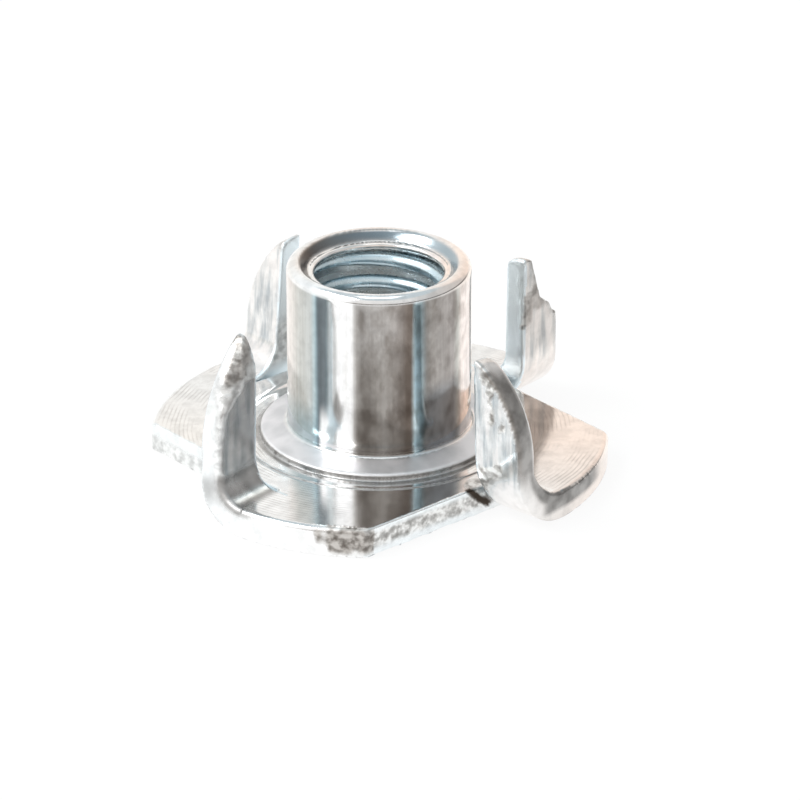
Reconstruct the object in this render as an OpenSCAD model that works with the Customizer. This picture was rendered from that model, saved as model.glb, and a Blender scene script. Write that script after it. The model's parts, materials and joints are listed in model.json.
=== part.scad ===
// Four-prong tee nut, drawn and blanked from one piece of sheet steel.
// The round flange lies on z = 0 and the barrel rises along +Z. Each claw is sheared out of the
// flange along a straight slit and folded up, so it stays joined to the flange at one side only,
// and the flange is left as four lobes.

/* [Flange] */
// Diameter of the round flange
flange_d = 19; // [17:0.5:24]
// Thickness of the sheet, kept by the flange
sheet_t = 1.25; // [1:0.05:1.5]
// Rounding of the top edge of the blanked rim
rim_roll_r = 0.25; // [0.1:0.05:0.4]
// Diameter of the circular mark that the drawing tool leaves on the flange
tool_mark_d = 11.6; // [11:0.1:12.6]
// Depth of the circular mark
tool_mark_depth = 0.06; // [0.02:0.01:0.15]

/* [Barrel] */
// Outside diameter of the drawn barrel
barrel_d = 7.6; // [7:0.1:8]
// Height from the underside of the flange to the barrel's lip
overall_h = 8.8; // [7.5:0.1:12]
// Rounding of the lip's outer edge
lip_r = 0.4; // [0.2:0.05:0.45]
// Diameter of the raised shoulder round the foot of the barrel
shoulder_d = 9.9; // [9.2:0.1:10.6]
// Height of the shoulder above the flange, next to the barrel
shoulder_h = 0.45; // [0.3:0.05:0.7]
// Height of the shoulder above the flange, at its outer edge
shoulder_edge_h = 0.2; // [0.1:0.05:0.3]
// Fillet between the barrel and its shoulder
root_r = 0.2; // [0.1:0.05:0.4]

/* [Thread hole] */
// Diameter of the hole, at the crests of its thread (M6)
hole_d = 5; // [4.6:0.1:5.4]
// Diameter of the countersink at the lip
countersink_d = 6.6; // [6:0.1:6.7]
// Rounding that drawing leaves where the hole meets the underside
draw_r = 1.1; // [0.5:0.1:1.3]

/* [Slits] */
// Distance from the axis to the line of each slit
slit_offset = 6.88; // [6.6:0.02:6.9]
// Angle of each slit to the line square to its claw's fold
slit_skew = 8; // [4:0.5:12]
// Gap between each slit and the claw that was sheared away from it
shear_gap = 0.05; // [0.03:0.01:0.15]

/* [Claws] */
// Thickness of a claw, thinned by the fold
claw_t = 1; // [0.8:0.05:1.1]
// Distance from the claw's fold line to the flange's radius that runs beside it
fold_offset = 0.5; // [0.3:0.05:0.8]
// Distance from the axis to each claw's inner edge, where the claw stands upright
claw_in = [7.02, 7.23, 6.95, 6.85]; // [6.8:0.01:7.4]
// Distance from the axis to the claws' upright outer edge
claw_out = 9.25; // [9:0.05:9.4]
// Height of each claw's tip above the flange
claw_h = [5.8, 5.9, 6.45, 5.9]; // [4.5:0.05:6.6]
// Radius of each claw's curve from its outer edge to its tip
nose_r = [4.5, 5, 5.5, 4.7]; // [4:0.1:6]
// Height above the flange at which each claw's curve begins
nose_z = [2.1, 1.85, 1.95, 1.85]; // [1.6:0.05:2.4]
// Inside radius of each claw's fold
fold_r = [1.4, 1.6, 1.25, 1.5]; // [1.1:0.05:1.7]
// How far each claw leans away from its own lobe
claw_lean = [0.4, 5.7, -1.5, 1.5]; // [-4:0.1:7]
// How far each claw is turned about the axis from its even place
claw_turn = [0.3, -3.3, 2.7, 0.2]; // [-3.5:0.1:3.5]
// How much lower each tip ends on the face towards its own lobe
tip_slant = [0.4, 0.4, 1.6, 0.2]; // [0:0.05:1.8]
// The claw whose outer corner is torn away
torn_claw = 0; // [0:1:3]

/* [Hidden] */
$fn = 96;
claw_count = 4;
flange_r = flange_d / 2;
barrel_r = barrel_d / 2;
shoulder_r = shoulder_d / 2;
hole_r = hole_d / 2;
countersink_r = countersink_d / 2;
shoulder_edge_draft = 0.08;
// How far cutting shapes run past the metal, and how far a claw runs into its lobe
beyond = 1;
lap = 0.1;
// Distance from the axis to a claw's outer edge at its fold, a hair inside the rim
rim_inset = 0.005;
fold_out = sqrt(pow(flange_r, 2) - pow(fold_offset + lap, 2)) - rim_inset;
// The tear, from the torn claw's inner edge outwards and from its tip downwards
tear_path = [[0.5, -beyond], [0.55, 0.25], [0.8, 1], [1.1, 2], [1.75, 2.5], [2, 3]];

// Distance from the axis to a claw's inner edge at its fold, which starts where the slit ends
function fold_in(n) =
    let (skew = slit_skew + claw_turn[n])
    slit_offset / cos(skew) + fold_offset * tan(skew) + shear_gap;

// Half section of the drawn blank: flange, shoulder and barrel
module blank_section() {
    square([flange_r, sheet_t]);
    square([barrel_r, overall_h - lip_r]);
    square([barrel_r - lip_r, overall_h]);
    translate([barrel_r - lip_r, overall_h - lip_r]) circle(lip_r);
    translate([0, sheet_t]) shoulder_section();
}

module shoulder_section() {
    polygon([
        [0, -sheet_t / 2], [shoulder_r, -sheet_t / 2], [shoulder_r, 0],
        [shoulder_r - shoulder_edge_draft, shoulder_edge_h],
        [barrel_r + root_r, shoulder_h], [0, shoulder_h]
    ]);
    difference() {
        translate([0, shoulder_h - root_r / 2]) square([barrel_r + root_r, root_r * 1.5]);
        translate([barrel_r + root_r, shoulder_h + root_r]) circle(root_r);
    }
}

// Half section of the hole: rounded below, straight for the thread, countersunk at the lip
module hole_section() {
    countersink_depth = countersink_r - hole_r;
    translate([0, -beyond]) square([hole_r, overall_h + 2 * beyond]);
    difference() {
        translate([0, -beyond]) square([hole_r + draw_r, draw_r + beyond]);
        translate([hole_r + draw_r, draw_r]) circle(draw_r);
    }
    polygon([
        [0, overall_h - countersink_depth], [hole_r, overall_h - countersink_depth],
        [countersink_r, overall_h], [countersink_r, overall_h + beyond], [0, overall_h + beyond]
    ]);
}

module tool_mark_section() {
    translate([shoulder_r, sheet_t - tool_mark_depth])
        square([tool_mark_d / 2 - shoulder_r, tool_mark_depth + shoulder_edge_h]);
}

// Half section of what the blanking tool rolls off the top edge of the rim
module rim_roll_section() {
    difference() {
        translate([flange_r - rim_roll_r, sheet_t - rim_roll_r]) square(rim_roll_r + beyond);
        translate([flange_r - rim_roll_r, sheet_t - rim_roll_r]) circle(rim_roll_r);
    }
}

module blank() {
    rotate_extrude() difference() {
        blank_section();
        hole_section();
        tool_mark_section();
    }
}

// What a claw leaves open in the flange: all that lies past its slit, up to its fold
module notch(n) {
    reach = 2 * flange_r;
    translate([0, 0, -beyond]) linear_extrude(sheet_t + 2 * beyond) intersection() {
        rotate(-slit_skew) translate([slit_offset, -reach]) square([reach, 2 * reach]);
        rotate(claw_turn[n]) translate([0, fold_offset - reach]) square(reach);
    }
}

// Section across a claw's fold: x runs away from its own lobe, y is up
module fold_section(n) {
    inner_r = fold_r[n];
    outer_r = inner_r + claw_t;
    inner_end = [inner_r, sheet_t + inner_r];
    outer_end = [outer_r, outer_r];
    along = [tan(claw_lean[n]), 1];
    inner_tip = inner_end + (sheet_t + claw_h[n] - tip_slant[n] - inner_end.y) * along;
    outer_tip = outer_end + (sheet_t + claw_h[n] - outer_end.y) * along;
    translate([-lap, 0]) square([lap, sheet_t]);
    intersection() {
        difference() {
            translate([0, outer_r]) circle(outer_r);
            translate([0, sheet_t + inner_r]) circle(inner_r);
        }
        polygon([[0, 0], [2 * outer_r, 0], 2 * outer_end - inner_end, inner_end,
            [0, sheet_t + inner_r]]);
    }
    polygon([inner_end, (inner_end + outer_end) / 2 - [0, lap], outer_end, outer_tip, inner_tip]);
}

// Outline of a claw seen square to its face: x is the distance from the axis, y the height
module claw_outline(n) {
    nose_base = sheet_t + nose_z[n];
    top = nose_base + nose_r[n];
    upright = sheet_t + fold_r[n];
    difference() {
        polygon([[fold_in(n), 0], [fold_out, 0], [fold_out, sheet_t], [claw_out, upright],
            [claw_out, top], [claw_in[n], top], [claw_in[n], upright], [fold_in(n), sheet_t]]);
        difference() {
            translate([claw_out - nose_r[n], nose_base]) square(nose_r[n] + beyond);
            translate([claw_out - nose_r[n], nose_base]) circle(nose_r[n]);
        }
        if (n == torn_claw) tear(n);
    }
}

module tear(n) {
    outside = claw_out - claw_in[n] + beyond;
    path = [for (p = tear_path) p, [outside, tear_path[len(tear_path) - 1].y], [outside, -beyond]];
    polygon([for (p = path) [claw_in[n] + p.x, sheet_t + claw_h[n] - p.y]]);
}

module claw(n) {
    rotate([0, 0, claw_turn[n]]) intersection() {
        rotate([90, 0, 90]) linear_extrude(flange_r + beyond)
            translate([fold_offset, 0]) mirror([1, 0]) fold_section(n);
        rotate([90, 0, 0]) translate([0, 0, -beyond])
            linear_extrude(flange_r) claw_outline(n);
    }
}

module notches() {
    for (n = [0:claw_count - 1]) rotate(360 / claw_count * n) notch(n);
}

module tee_nut() {
    color("gainsboro") difference() {
        union() {
            difference() {
                blank();
                notches();
            }
            for (n = [0:claw_count - 1]) rotate(360 / claw_count * n) claw(n);
        }
        difference() {
            rotate_extrude() rim_roll_section();
            notches();
        }
    }
}

tee_nut();
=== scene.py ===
# %% [markdown]
# # A drawn four-prong tee nut
# This nut is pressed from one piece of sheet steel: the barrel is drawn up out of a round
# blank, four claws are sheared and folded out of the flange, the hole is tapped, and the whole
# is plated with bright zinc. The CAD solid has the true sizes and flat, hard edges. The cells
# below rebuild the same shape with the soft edges, torn faces and thread that pressing and
# tapping leave, then plate it, light it and set a camera.

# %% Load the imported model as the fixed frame
import json
import math
from types import SimpleNamespace

import bpy
import numpy as np
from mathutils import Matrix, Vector

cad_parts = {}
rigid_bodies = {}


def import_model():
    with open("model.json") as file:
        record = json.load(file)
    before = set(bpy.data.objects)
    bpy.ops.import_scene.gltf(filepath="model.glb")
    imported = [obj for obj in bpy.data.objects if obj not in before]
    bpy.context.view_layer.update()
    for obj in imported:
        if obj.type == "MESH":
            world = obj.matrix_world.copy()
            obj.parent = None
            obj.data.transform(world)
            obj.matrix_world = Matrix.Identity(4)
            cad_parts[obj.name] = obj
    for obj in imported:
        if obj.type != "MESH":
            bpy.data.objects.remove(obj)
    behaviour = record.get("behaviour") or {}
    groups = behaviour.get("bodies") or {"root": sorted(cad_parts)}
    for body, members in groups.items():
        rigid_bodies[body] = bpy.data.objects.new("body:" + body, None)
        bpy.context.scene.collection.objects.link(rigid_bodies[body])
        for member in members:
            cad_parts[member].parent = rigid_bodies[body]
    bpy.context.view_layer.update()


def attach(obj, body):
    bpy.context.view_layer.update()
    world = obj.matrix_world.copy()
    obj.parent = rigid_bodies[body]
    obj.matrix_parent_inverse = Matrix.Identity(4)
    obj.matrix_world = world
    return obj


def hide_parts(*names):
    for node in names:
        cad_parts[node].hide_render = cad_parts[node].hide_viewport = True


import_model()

# %% [markdown]
# ## Sizes
# Everything is worked out in millimetres and is turned to metres only when a mesh is made. A
# list has one value for each claw. Claw 0 stands on the +X side and has the torn corner, and
# the others follow anticlockwise.

# %% The sizes of the sheet, the barrel and the claws
MM = 0.001
FLANGE_R, SHEET_T, RIM_ROLL = 9.5, 1.25, 0.25
SUNK_Z = 0.5  # how low the barrel and its shoulder start, inside the flange
MARK_R, MARK_DEPTH = 5.8, 0.06
BARREL_R, TOP, LIP_R, BARREL_MID = 3.8, 8.8, 0.4, 4.0
SHOULDER_R, SHOULDER_H, SHOULDER_EDGE, ROOT_R = 4.95, 0.45, 0.2, 0.12
CREST_R, GROOVE_R, MOUTH_R, DRAW_R = 2.5, 3.0, 3.3, 1.1
# The land between the thread and the countersink, and the raised ring round it
LAND_R, LAND_Z = 2.72, 8.0
RING_R, RING_Z, RING_ROUND = 2.8, 8.25, 0.15
SLIT_X, SLIT_SKEW = 6.88, math.radians(8)
CLAW_T, FOLD_Y, CLAW_OUT = 1.0, 0.5, 9.25
NOSE_R = [4.5, 5.0, 5.5, 4.7]
CLAW_IN = [7.02, 7.23, 6.95, 6.85]
CLAW_H = [5.8, 5.9, 6.45, 5.9]
NOSE_Z = [2.1, 1.85, 1.95, 1.85]
FOLD_R = [1.4, 1.6, 1.25, 1.5]
LEAN = [math.radians(a) for a in (0.4, 5.7, -1.5, 1.5)]
TURN = [math.radians(a) for a in (0.3, -3.3, 2.7, 0.2)]
TIP_SLANT = [0.4, 0.4, 1.6, 0.2]
ROUGH_TIP = [0.05, 0.06, 0.14, 0.06]
# Degrees clockwise from +X to the front, from where angles round the nut are counted
FRONT = 138.3
# The tear of claw 0, outwards from its inner edge and down from its tip
TEAR = [(0.5, -1), (0.55, 0.25), (0.8, 1), (1.1, 2), (1.75, 2.5), (2, 3), (3.4, 3), (3.4, -1)]
TEAR_PATH = [(CLAW_IN[0] + out, SHEET_T + CLAW_H[0] - down) for out, down in TEAR]
print("sheet", SHEET_T, "mm, barrel", 2 * BARREL_R, "mm, claws", CLAW_H, "mm high")

# %% [markdown]
# ## A shape as a distance
# A pressed part has no sharp edge: the sheet rolls over where a punch enters it and tears
# where it leaves. A bevel on a CAD mesh breaks at such corners, so the nut is described as a
# *signed distance*: a number for each point of space, negative in the steel. Two distances are
# joined or cut with a radius, which gives each edge the roundness it really has.

# %% Cutting and joining with a radius
def rolled_cut(a, b, radius):
    """What lies in both shapes, with the edge between them rolled to a radius."""
    inside = np.hypot(np.maximum(radius + a, 0), np.maximum(radius + b, 0))
    return np.minimum(-radius, np.maximum(a, b)) + inside


def filleted_join(a, b, radius):
    """What lies in either shape, with a fillet in the corner between them."""
    corner = np.hypot(np.maximum(radius - a, 0), np.maximum(radius - b, 0))
    return np.maximum(radius, np.minimum(a, b)) - corner


def smooth(low, high, x):
    """0 below low, 1 above high, and a soft step between."""
    t = np.clip((x - low) / (high - low), 0, 1)
    return t * t * (3 - 2 * t)


print("a corner rolled to", RIM_ROLL, "mm is cut back by",
      round(float(rolled_cut(0.0, 0.0, RIM_ROLL)), 3), "mm")

# %% The distance to an outline
def outline_distance(points, x, y):
    """Signed distance to a closed outline, negative inside it."""
    nearest = np.full(x.shape, 1e9)
    inside = np.zeros(x.shape, bool)
    for (ax, ay), (bx, by) in zip(points, points[1:] + points[:1]):
        ex, ey = bx - ax, by - ay
        t = np.clip(((x - ax) * ex + (y - ay) * ey) / (ex * ex + ey * ey), 0, 1)
        nearest = np.minimum(nearest, (x - ax - t * ex) ** 2 + (y - ay - t * ey) ** 2)
        crosses = (ay > y) != (by > y)
        inside ^= crosses & (x < ax + (y - ay) * ex / (ey if ey else 1e-9))
    return np.where(inside, -1, 1) * np.sqrt(nearest)


SQUARE = [(-1, -1), (1, -1), (1, 1), (-1, 1)]
print("middle of a 2 mm square:", outline_distance(SQUARE, np.zeros(1), np.zeros(1))[0], "mm")

# %% Random bumps with a size
CUBE = 32
RANDOM = np.random.default_rng(7).random((CUBE, CUBE, CUBE))


def grain(p, size, shift=0):
    """Smooth random bumps from -1 to 1, each about the given size in mm."""
    q = p / size + shift
    cell = np.floor(q).astype(int)
    t = q - cell
    t = t * t * (3 - 2 * t)
    total = 0
    for dx in (0, 1):
        for dy in (0, 1):
            for dz in (0, 1):
                i, j, k = ((cell[..., a] + d) % CUBE for a, d in enumerate((dx, dy, dz)))
                weight = np.ones(i.shape)
                for a, d in enumerate((dx, dy, dz)):
                    weight = weight * (t[..., a] if d else 1 - t[..., a])
                total = total + RANDOM[i, j, k] * weight
    return 2 * total - 1


print("bumps every quarter of a mm:", grain(np.outer(np.arange(5), (0.25, 0, 0)), 0.5).round(2))

# %% [markdown]
# ## The drawn blank
# Drawing pulls a tube up out of the flat disc. The press leaves a rounded lip, a low sloping
# shoulder round the foot, a faint ring where the tool stopped, and a wide radius on the
# underside where the sheet flowed into the barrel. The tap leaves a narrow land and a raised
# ring at the foot of the countersink. Spinning an outline would make this part too, but could
# not blend it with the slits and the claws. The bore is cut to the bottom of the thread
# grooves, because the thread's ridge is a piece of its own.

# %% The turned part of the nut
def drawn_blank(p):
    x, y, z = p[..., 0], p[..., 1], p[..., 2]
    r = np.hypot(x, y)
    face = z - SHEET_T + MARK_DEPTH * (1 - smooth(MARK_R - 0.18, MARK_R + 0.14, r))
    flange = rolled_cut(rolled_cut(r - FLANGE_R, face, RIM_ROLL), -z, 0.1)
    slope = (SHOULDER_H - SHOULDER_EDGE) / (SHOULDER_R - BARREL_R - ROOT_R)
    rise = (z - SHEET_T - SHOULDER_EDGE - (SHOULDER_R - r) * slope) / math.hypot(1, slope)
    shoulder = rolled_cut(np.maximum(rise, SUNK_Z - z), r - SHOULDER_R, 0.12)
    barrel = rolled_cut(r - BARREL_R, z - TOP, LIP_R)
    barrel = filleted_join(np.maximum(barrel, SUNK_Z - z), shoulder, ROOT_R)
    steel = filleted_join(flange, barrel, 0.09)
    mouth = (MOUTH_R - (TOP - z) - r) / math.sqrt(2)
    bore = rolled_cut(CREST_R - r, -z, DRAW_R)
    land = (GROOVE_R - LAND_R) * smooth(LAND_Z - 0.12, LAND_Z + 0.08, z)
    hollow = rolled_cut(np.maximum(bore, GROOVE_R - land - r), mouth, 0.4)
    ring = np.hypot(r - RING_R, z - RING_Z) - RING_ROUND
    mouth_end = filleted_join(rolled_cut(steel, hollow, 0.1), ring, 0.1)
    return np.where(z > BARREL_MID, mouth_end, rolled_cut(steel, hollow, 0.02))


print("half way through the barrel's wall:", drawn_blank(np.array([3.4, 0, 5])).round(2), "mm")

# %% [markdown]
# ## The sheared slits
# A shear cuts the upper part of the sheet clean and tears the rest, so the wall of a slit is
# smooth near one face and rough below. A boolean cut would leave the whole wall flat and its
# corners sharp, so the opening is a distance too, and a little random bump is added to it,
# most of it where the wall tears.

# %% What the shear opens in the flange
def claw_frame(p, n, turned=True):
    """Position seen from claw n: along its face, towards its own lobe, and up."""
    a = n * math.pi / 2 + (TURN[n] if turned else 0)
    x, y = p[..., 0], p[..., 1]
    return x * math.cos(a) + y * math.sin(a), y * math.cos(a) - x * math.sin(a), p[..., 2]


def notch(p, n):
    """Negative in the opening that claw n leaves, and the distance to the slit's wall."""
    x, y, z = claw_frame(p, n, turned=False)
    past_slit = SLIT_X - (x * math.cos(SLIT_SKEW) - y * math.sin(SLIT_SKEW))
    torn = smooth(0.75, 0.45, z) * grain(p, 0.35) * 0.05 + grain(p, 1.1, 5) * 0.02
    _, fold_y, _ = claw_frame(p, n)
    return np.maximum(past_slit + torn, fold_y - FOLD_Y), past_slit + torn


print("out in claw 0's opening:", notch(np.array([8.0, -2, 1]), 0)[0].round(2), "mm")

# %% [markdown]
# ## The folded claws
# A claw is a strip of the same sheet, bent up over a rounded tool. Across the fold it has an
# inner and an outer surface, each flat, then round, then straight. Seen square to its face it
# has a straight sheared edge, a rim edge and a long curved nose. A bend modifier could fold a
# flat strip, but would not hold the sheet's thickness, nor tear a tip.

# %% The bent sheet of one claw
def bent_surface(u, z, start, radius, lean):
    """Height above one surface of the bent sheet: flat, then round, then straight."""
    bend = math.pi / 2 - lean
    across = np.hypot(u, z - start - radius)
    end_u, end_z = radius * math.sin(bend), start + radius * (1 - math.cos(bend))
    straight = (z - end_z) * math.cos(bend) - (u - end_u) * math.sin(bend)
    angle = np.arctan2(u, start + radius - z)
    return np.where(u < 0, z - start, np.where(angle < bend, radius - across, straight))


print("1 mm over a flat sheet:", bent_surface(-1.0, SHEET_T + 1, SHEET_T, 1.0, 0.0), "mm")

# %% The edges of one claw
def claw_edges(p, n, outer):
    """Distances to the sheared edge, the rim edge with the nose, and the tip of claw n."""
    x, y, z = claw_frame(p, n)
    skew = SLIT_SKEW + TURN[n]
    slit_x = SLIT_X / math.cos(skew) + FOLD_Y * math.tan(skew) + 0.12
    upright = smooth(SHEET_T * 0.6, SHEET_T + FOLD_R[n], z)
    sheared = slit_x + (CLAW_IN[n] - slit_x) * upright - x
    sheared = sheared + grain(p, 0.3, 3) * 0.03 * smooth(0.3, 0.7, 0.5 + outer / CLAW_T + 0.3)
    base = SHEET_T + NOSE_Z[n]
    rim = x - (FLANGE_R - 0.02 + (CLAW_OUT - FLANGE_R + 0.02) * upright)
    rim = np.where(y > FOLD_Y, np.hypot(x, y) - FLANGE_R, rim)
    nose = np.hypot(x - CLAW_OUT + NOSE_R[n], z - base) - NOSE_R[n]
    rim = np.where(z > base, nose, rim)
    tip = z - SHEET_T - CLAW_H[n] + TIP_SLANT[n] * np.clip(-outer / CLAW_T, 0, 1) ** 2.6
    return sheared, rim, tip + grain(p, 0.5, 9) * ROUGH_TIP[n]


MIDDLE = np.array([8.0, -1.5, 4.0])
print("the middle of claw 0 lies inside its edges by",
      [round(-float(d), 2) for d in claw_edges(MIDDLE, 0, -CLAW_T / 2)], "mm")

# %% One claw, with the ragged tips of two of them
def claw(p, n):
    x, y, z = claw_frame(p, n)
    u = FOLD_Y - y
    outer = -bent_surface(u, z, 0, FOLD_R[n] + CLAW_T, LEAN[n])
    inner = bent_surface(u, z, SHEET_T, FOLD_R[n], LEAN[n])
    sheared, rim, tip = claw_edges(p, n, outer)
    if n == 2:
        bevel = inner * 0.64 + (rim + np.clip((z - 4.9) * 0.62, 0, 0.45)) * 0.77
        tip = rolled_cut(tip, bevel + grain(p, 0.4, 6) * 0.05, 0.1)
    if n == 0:
        torn_off = outline_distance(TEAR_PATH, x, z)
        rim = rolled_cut(rim, -torn_off + grain(p, 0.4) * 0.05, 0.08)
    shape = rolled_cut(rolled_cut(rim, inner, 0.22), outer, 0.12)
    shape = rolled_cut(rolled_cut(shape, sheared, 0.1), tip, 0.18)
    return np.maximum(shape, -0.6 - u), sheared, rim, tip


print("the middle of claw 0 lies", -claw(MIDDLE, 0)[0].round(2), "mm deep in the steel")

# %% [markdown]
# ## The whole nut as one distance
# The blank loses its four openings and gains its four claws. Each claw is only worked out near
# where it stands, which keeps the sum quick.

# %% Put the blank, the openings and the claws together
def near_claw(p, n):
    """Where claw n can reach."""
    x, y, _ = claw_frame(p, n)
    return (x > 6) & (y > -4) & (y < 2)


def tee_nut(p):
    steel = drawn_blank(p)
    for n in range(4):
        opening, _ = notch(p, n)
        steel = rolled_cut(steel, -opening, 0.07)
    for n in range(4):
        near = near_claw(p, n)
        steel[near] = np.minimum(steel[near], claw(p[near], n)[0])
    return steel


print("the middle of the hole is", tee_nut(np.zeros((1, 3)))[0].round(2), "mm from the steel")

# %% Work the distance out on a grid
STEP = 0.11
GRID_LOW, GRID_HIGH = np.array([-9.88, -9.91, -0.33]), np.array([9.9, 9.9, 9.13])
counts = np.ceil((GRID_HIGH - GRID_LOW) / STEP).astype(int) + 1
axes = [GRID_LOW[a] + STEP * np.arange(counts[a]) for a in range(3)]
field = np.empty(counts)
for i, x in enumerate(axes[0]):
    sheet = np.stack(np.meshgrid([x], axes[1], axes[2], indexing="ij"), -1)
    field[i] = tee_nut(sheet)[0]
print("distance worked out at", field.size, "points, steel at", int((field < 0).sum()))

# %% [markdown]
# ## A mesh from the distance
# *Surface nets*: each small box of the grid that the surface passes through gets one vertex,
# and each grid line that it crosses gets one face. Then every vertex slides along the
# distance's slope until it lies on the surface, and the slope gives its normal, so
# reflections run over the mesh without a ripple. Blender's own volume-to-mesh tools also make
# a net, but they cannot slide it, and bright metal would show every step of the grid.

# %% One vertex for each box that the surface passes through
def net_vertices(field, where):
    """The mean of the places where the surface crosses the sides of each box."""
    total, hits = np.zeros((len(where), 3)), np.zeros(len(where))
    for axis in range(3):
        others = [a for a in range(3) if a != axis]
        for da in (0, 1):
            for db in (0, 1):
                start = where.copy()
                start[:, others[0]] += da
                start[:, others[1]] += db
                end = start.copy()
                end[:, axis] += 1
                f0, f1 = field[tuple(start.T)], field[tuple(end.T)]
                cut = (f0 < 0) != (f1 < 0)
                place = start[cut].astype(float)
                place[:, axis] += f0[cut] / (f0[cut] - f1[cut])
                total[cut] += place
                hits[cut] += 1
    return total / hits[:, None]


inside = field < 0
boxes = np.array(field.shape) - 1
corners = sum(inside[i : boxes[0] + i, j : boxes[1] + j, k : boxes[2] + k].astype(np.int8)
              for i in (0, 1) for j in (0, 1) for k in (0, 1))
mixed = (corners > 0) & (corners < 8)
net = net_vertices(field, np.argwhere(mixed))
print("boxes with a vertex:", len(net), "of", mixed.size)

# %% One face for each grid line that it crosses
def net_faces(inside, number):
    """Four-sided faces, each between the four boxes round a crossed grid line."""
    faces = []
    for axis in range(3):
        b, c = (axis + 1) % 3, (axis + 2) % 3
        first = np.take(inside, range(inside.shape[axis] - 1), axis)
        second = np.take(inside, range(1, inside.shape[axis]), axis)
        for sign, crossing in ((1, first & ~second), (-1, second & ~first)):
            at = np.argwhere(crossing)
            ring = []
            for db, dc in ((-1, -1), (0, -1), (0, 0), (-1, 0)):
                cell = at.copy()
                cell[:, b] += db
                cell[:, c] += dc
                ring.append(number[tuple(cell.T)])
            faces.append(np.stack(ring[::sign], -1))
    return np.concatenate(faces)


number = np.full(boxes, -1)
number[mixed] = np.arange(mixed.sum())
quads = net_faces(inside, number)
print("grid lines with a face:", len(quads))

# %% Slide the net onto the surface
SLIDES, SLIDE_SHARE, PROBE, LEAST_SLOPE = 3, 0.9, 0.02, 0.5
points = GRID_LOW + STEP * net
for _ in range(SLIDES):
    value = tee_nut(points[None])[0]
    slope = np.stack([tee_nut((points + d)[None])[0] - tee_nut((points - d)[None])[0]
                      for d in np.eye(3) * PROBE], -1) / (2 * PROBE)
    steepness = np.maximum((slope**2).sum(-1), LEAST_SLOPE**2)
    points -= slope * (value / steepness)[:, None] * SLIDE_SHARE
normals = slope / np.linalg.norm(slope, axis=-1, keepdims=True)
print(len(points), "vertices, at most", np.abs(value).max().round(3), "mm off the surface")

# %% [markdown]
# ## Where the steel was sheared, torn or drawn, and where shade is painted
# One plating covers the nut, but it looks different over a wall cut clean, a torn wall, a drawn
# wall and painted shade. Each vertex keeps a number from 0 to 1 for each of these, and the
# material reads them as attributes, so the finish changes softly from one to the next.
# Painting them by hand would be quicker, but a rule can be changed and run again.

# %% Start every finish at nothing
r, height = np.hypot(points[:, 0], points[:, 1]), points[:, 2]
finish = {name: np.zeros(len(points)) for name in (
    "sheared", "torn", "dirt_and_shade", "painted_shade", "painted_gap_shade", "upright", "drawn", "collar", "countersunk",
    "bored", "flat_top")}


def add_finish(name, amount, at=slice(None)):
    """Raise one finish to an amount, on all the vertices or on some of them."""
    finish[name][at] = np.maximum(finish[name][at], amount)


def near_to(path, reach, ragged=0.0):
    """1 along a path of places (mm), falling to 0 at the reach, with a ragged edge."""
    away = np.full(len(points), 1e9)
    path = np.array(path)
    for start, end in zip(path, path[1:]):
        span = end - start
        t = np.clip((points - start) @ span / (span @ span), 0, 1)
        away = np.minimum(away, np.linalg.norm(points - start - t[:, None] * span, axis=1))
    return 1 - smooth(reach * 0.6, reach, away + ragged * grain(points, 0.35, 4))


print("finishes:", list(finish))

# %% [markdown]
# The walls of the slits come first. From the top of the sheet down, the shear cuts clean, then
# tears, and on the front right slit it cuts clean again near the underside. The pairs below
# say over which part of the thickness each change happens.

# %% The walls of the slits
CLEAN_CUT = [(0.3, 0.5), (0.3, 0.5), (0.35, 0.5), (0.08, 0.25)]
TORN_END = [(1.2, 1.3), (1.2, 1.3), (1.2, 1.3), (0.6, 0.85)]
TORN_HARD = [0.5, 0.5, 0.4, 0.8]
depth = np.clip(1 - height / SHEET_T, 0, 1)
for n in range(4):
    x, y, z = claw_frame(points, n)
    _, wall = notch(points, n)
    on_slit = (np.abs(wall) < 0.09) & (z < 1.3) & (x > 4) & (y < 0.6) & (r > 6)
    tears = smooth(*CLEAN_CUT[n], depth) * (1 - smooth(*TORN_END[n], depth)) * TORN_HARD[n]
    add_finish("sheared", 0.4, on_slit)
    add_finish("torn", tears[on_slit], on_slit)
print({name: int((finish[name] > 0.3).sum()) for name in ("sheared", "torn")})

# %% [markdown]
# The claws are measured next: which vertices lie on each, how far they are from its edges, and
# how deep they lie in its sheet, from 0 on the outer face to 1 on the inner one.

# %% Measure the vertices of each claw
claws = []
for n in range(4):
    x, y, z = claw_frame(points, n)
    at = np.flatnonzero(near_claw(points, n))
    shape, edge, rim, tip = claw(points[at], n)
    turn = n * math.pi / 2 + TURN[n]
    facing = np.abs(normals[at, 1] * math.cos(turn) - normals[at, 0] * math.sin(turn))
    deep = bent_surface(FOLD_Y - y[at], z[at], 0, FOLD_R[n] + CLAW_T, LEAN[n])
    claws.append(SimpleNamespace(
        at=at, on=np.abs(shape) < 0.03, edge=np.abs(edge), rim=np.abs(rim), tip=np.abs(tip),
        x=x[at], y=y[at], z=z[at], deep=deep, facing=facing, place=points[at],
        normal=normals[at]))
print("vertices on the claws:", [int(c.on.sum()) for c in claws])

# %% What every claw has: a sheared edge, drag marks and a rough tip
for n, c in enumerate(claws):
    add_finish("sheared", 1.0, c.at[c.on & (c.edge < 0.12) & (c.z > 0.5)])
    add_finish("upright", c.on * smooth(1.5, 2.6, c.z) * smooth(0.6, 0.9, c.facing), c.at)
    at_tip = c.on * (1 - smooth(0.1, 0.3, c.tip)) * min(0.45, 8 * ROUGH_TIP[n])
    add_finish("torn", at_tip, c.at)
print("vertices on sheared edges:", int((finish["sheared"] > 0.9).sum()))
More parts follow.
